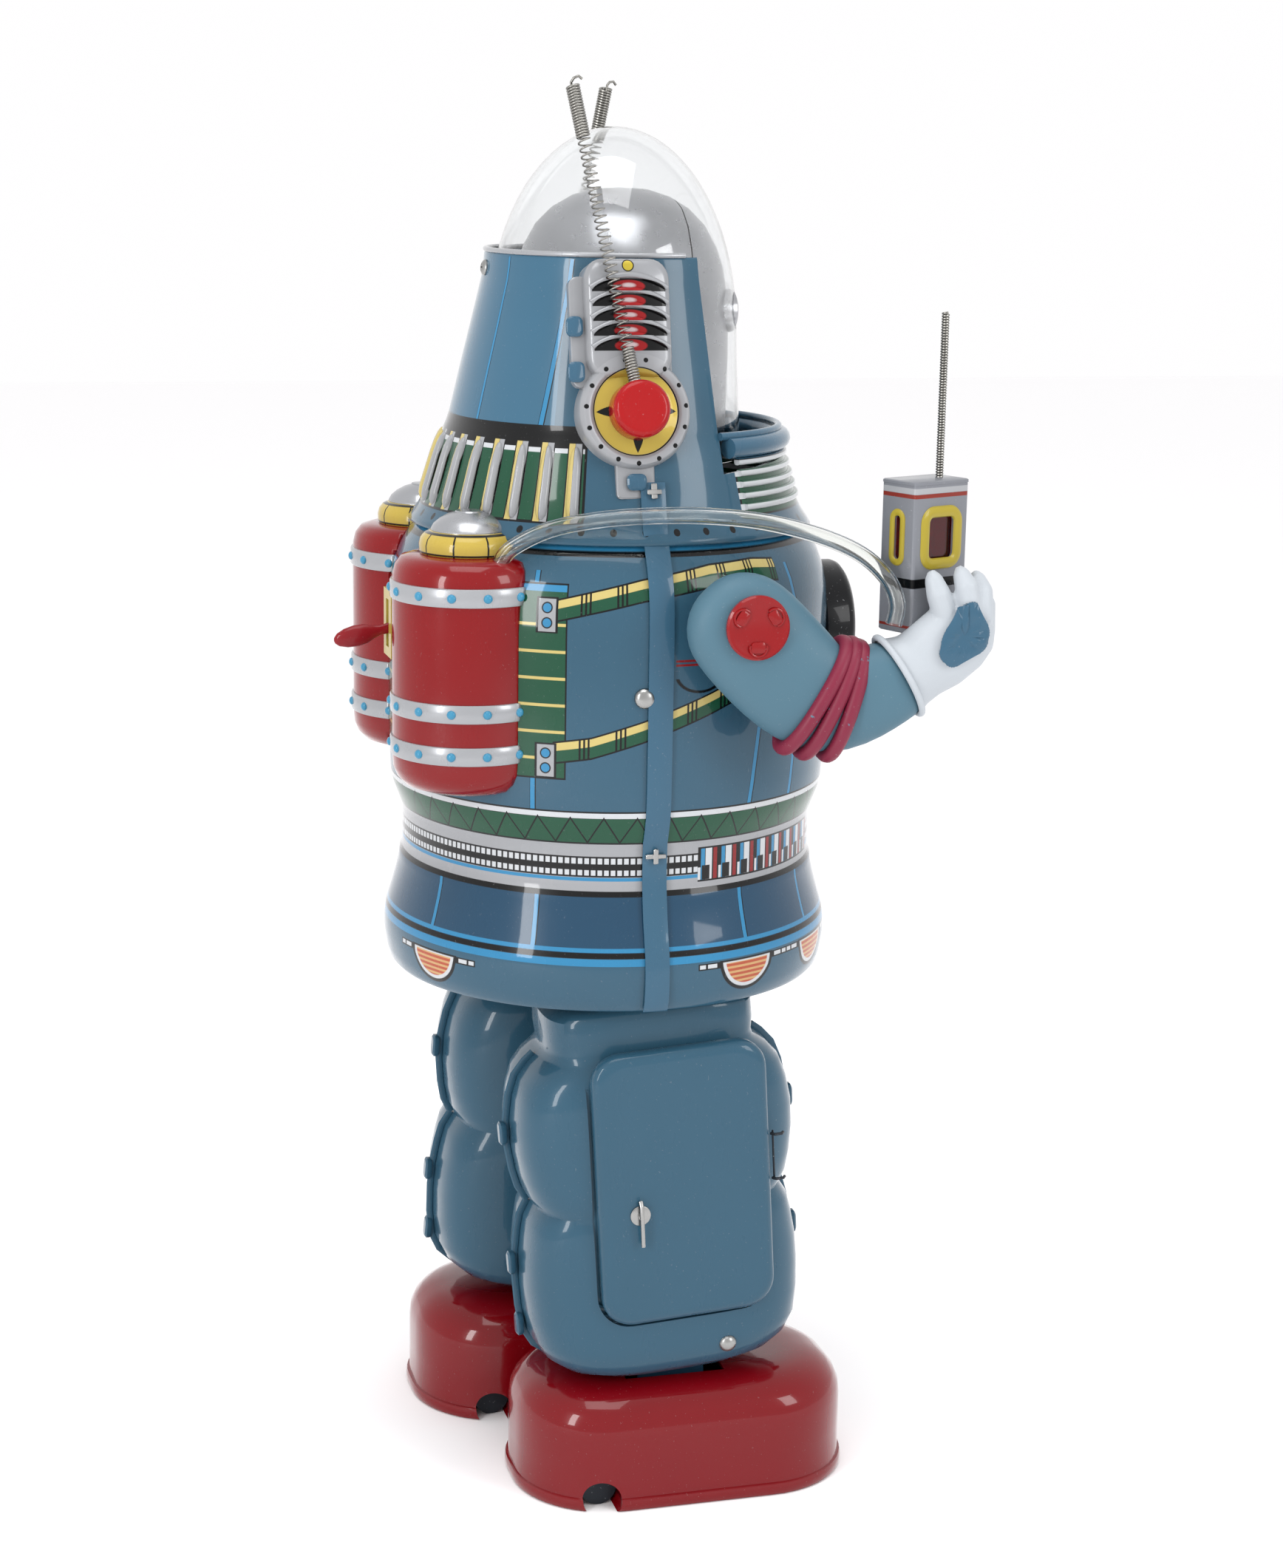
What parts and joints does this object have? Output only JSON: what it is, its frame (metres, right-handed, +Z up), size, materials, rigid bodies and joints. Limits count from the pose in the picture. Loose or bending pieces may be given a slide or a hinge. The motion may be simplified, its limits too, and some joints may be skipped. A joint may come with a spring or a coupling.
{
  "type": "walking tin robot",
  "caption": "Walking tin robot with a clear dome over a silver head, air tanks on its back, a hand radio, and legs that swing in turn on large red feet",
  "frame": {"origin": "On the floor under the middle of the body", "axes": "+Z up, the robot faces -Y, its right side is -X"},
  "size_m": [0.1442, 0.1326, 0.3231],
  "materials": {
    "body_blue": "glossy printed tin, grey blue",
    "leg_blue": "glossy enamel on tin, deeper blue",
    "dark_blue": "satin dark blue metal",
    "foot_red": "glossy red enamel on tin",
    "tank_red": "glossy red printed tin with silver bands",
    "cap_yellow": "glossy yellow printed tin with a silver top",
    "plain_tin": "bright plated tin",
    "ear_silver": "silver printed tin with black and yellow rings",
    "head_silver": "brushed silver tin",
    "spring_wire": "nickel plated spring wire",
    "clear_plastic": "clear moulded plastic",
    "knob_red": "satin red plastic",
    "disc_red": "glossy red enamel",
    "vinyl_blue": "soft matt light blue vinyl",
    "vinyl_white": "soft white vinyl glove",
    "gauge_black": "black rim and white printed dial",
    "radio_grey": "grey printed tin box",
    "radio_window": "red translucent window in a yellow frame",
    "switch_yellow": "yellow printed plate",
    "switch_red": "red lever",
    "hose_clear": "clear soft tube",
    "cell_black": "wrapped dry cell",
    "gear_brass": "cut brass"
  },
  "bodies": {
    "body": {"torso_front": "body_blue", "torso_rear": "body_blue", "side_strip_R": "body_blue", "side_strip_L": "body_blue", "base_plate": "dark_blue", "mech_frame": "plain_tin", "motor": "plain_tin", "gauge_bezel": "gauge_black", "gauge_lens": "clear_plastic", "tank_R": "tank_red", "tank_L": "tank_red", "tank_cap_R": "cap_yellow", "tank_cap_L": "cap_yellow", "switch_plate": "switch_yellow", "head_cowl": "body_blue", "clear_dome": "clear_plastic", "head_shell": "head_silver", "head_face": "head_silver", "head_lamp": "clear_plastic", "cowl_screw": "plain_tin", "ear_R": "ear_silver", "ear_L": "ear_silver", "air_hose": "hose_clear"},
    "switch": {"switch_lever": "switch_red"},
    "pinion": {"motor_pinion": "gear_brass"},
    "crankshaft": {"crank_wheel": "gear_brass"},
    "antenna_knob_R": {"ear_knob_R": "knob_red", "antenna_R": "spring_wire"},
    "antenna_knob_L": {"ear_knob_L": "knob_red", "antenna_L": "spring_wire"},
    "arm_R": {"arm_R": "vinyl_blue", "shoulder_disc_R": "disc_red", "glove_R": "vinyl_white", "radio_box": "radio_grey", "radio_windows": "radio_window", "radio_antenna": "spring_wire"},
    "arm_L": {"arm_L": "vinyl_blue", "shoulder_disc_L": "disc_red", "glove_L": "vinyl_white"},
    "leg_R": {"leg_outer_R": "leg_blue", "leg_inner_R": "leg_blue", "leg_strap_R": "dark_blue", "battery_R": "cell_black"},
    "door_R": {"door_R": "leg_blue"},
    "latch_R": {"door_latch_R": "plain_tin"},
    "foot_R": {"foot_shell_R": "foot_red", "foot_sole_R": "foot_red"},
    "roller_R": {"foot_roller_R": "plain_tin"},
    "leg_L": {"leg_outer_L": "leg_blue", "leg_inner_L": "leg_blue", "leg_strap_L": "dark_blue", "battery_L": "cell_black"},
    "door_L": {"door_L": "leg_blue"},
    "latch_L": {"door_latch_L": "plain_tin"},
    "foot_L": {"foot_shell_L": "foot_red", "foot_sole_L": "foot_red"},
    "roller_L": {"foot_roller_L": "plain_tin"}
  },
  "joints": [
    {"name": "switch_throw", "type": "hinge", "parent": "body", "child": "switch", "pos_m": [0, 0.046, 0.201], "axis": [1, 0, 0], "range_deg": [-4, 14]},
    {"name": "crank_spin", "type": "hinge", "parent": "body", "child": "crankshaft", "pos_m": [0, -0.0015, 0.152], "axis": [1, 0, 0], "continuous": true},
    {"name": "pinion_spin", "type": "hinge", "parent": "body", "child": "pinion", "pos_m": [0, 0.0227, 0.152], "axis": [1, 0, 0], "continuous": true},
    {"name": "antenna_turn_R", "type": "hinge", "parent": "body", "child": "antenna_knob_R", "pos_m": [-0.0364, 0.0045, 0.2517], "axis": [0.9744, 0, -0.225], "range_deg": [-35, 25]},
    {"name": "antenna_turn_L", "type": "hinge", "parent": "body", "child": "antenna_knob_L", "pos_m": [0.0364, 0.0045, 0.2517], "axis": [0.9744, 0, 0.225], "range_deg": [-25, 35]},
    {"name": "shoulder_R", "type": "hinge", "parent": "body", "child": "arm_R", "pos_m": [-0.058, -0.0157, 0.2089], "axis": [1, 0, 0], "range_deg": [-25, 40], "deforming": ["air_hose"]},
    {"name": "shoulder_L", "type": "hinge", "parent": "body", "child": "arm_L", "pos_m": [0.058, -0.0157, 0.2089], "axis": [1, 0, 0], "range_deg": [-35, 30]},
    {"name": "leg_swing_R", "type": "hinge", "parent": "body", "child": "leg_R", "pos_m": [-0.0265, -0.0015, 0.126], "axis": [1, 0, 0], "range_deg": [-1, 8.5]},
    {"name": "leg_swing_L", "type": "hinge", "parent": "body", "child": "leg_L", "pos_m": [0.0265, -0.0015, 0.126], "axis": [1, 0, 0], "range_deg": [-8.5, 1]},
    {"name": "ankle_R", "type": "hinge", "parent": "leg_R", "child": "foot_R", "pos_m": [-0.0265, -0.00843, 0.02023], "axis": [1, 0, 0], "range_deg": [-8.5, 8.5]},
    {"name": "roller_spin_R", "type": "hinge", "parent": "foot_R", "child": "roller_R", "pos_m": [-0.0265, 0.01137, 0.0043], "axis": [1, 0, 0], "continuous": true},
    {"name": "door_hinge_R", "type": "hinge", "parent": "leg_R", "child": "door_R", "pos_m": [-0.0484, -0.02779, 0.07962], "axis": [0, 0.0654, 0.9979], "range_deg": [0, 95]},
    {"name": "latch_turn_R", "type": "hinge", "parent": "door_R", "child": "latch_R", "pos_m": [-0.0485, 0.00348, 0.07206], "axis": [1, 0, 0], "range_deg": [-90, 0]},
    {"name": "ankle_L", "type": "hinge", "parent": "leg_L", "child": "foot_L", "pos_m": [0.0265, 0.00543, 0.02023], "axis": [1, 0, 0], "range_deg": [-8.5, 8.5]},
    {"name": "roller_spin_L", "type": "hinge", "parent": "foot_L", "child": "roller_L", "pos_m": [0.0265, 0.02523, 0.0043], "axis": [1, 0, 0], "continuous": true},
    {"name": "door_hinge_L", "type": "hinge", "parent": "leg_L", "child": "door_L", "pos_m": [0.0484, -0.02151, 0.07659], "axis": [0, -0.0654, 0.9979], "range_deg": [-95, 0]},
    {"name": "latch_turn_L", "type": "hinge", "parent": "door_L", "child": "latch_L", "pos_m": [0.0485, 0.01048, 0.07317], "axis": [1, 0, 0], "range_deg": [-90, 0]}
  ],
  "couplings": [
    {"joint": "pinion_spin", "follows": "crank_spin", "ratio": -3},
    {"joint": "leg_swing_L", "follows": "leg_swing_R", "ratio": -1},
    {"joint": "ankle_R", "follows": "leg_swing_R", "ratio": -1},
    {"joint": "ankle_L", "follows": "leg_swing_R", "ratio": 1}
  ]
}
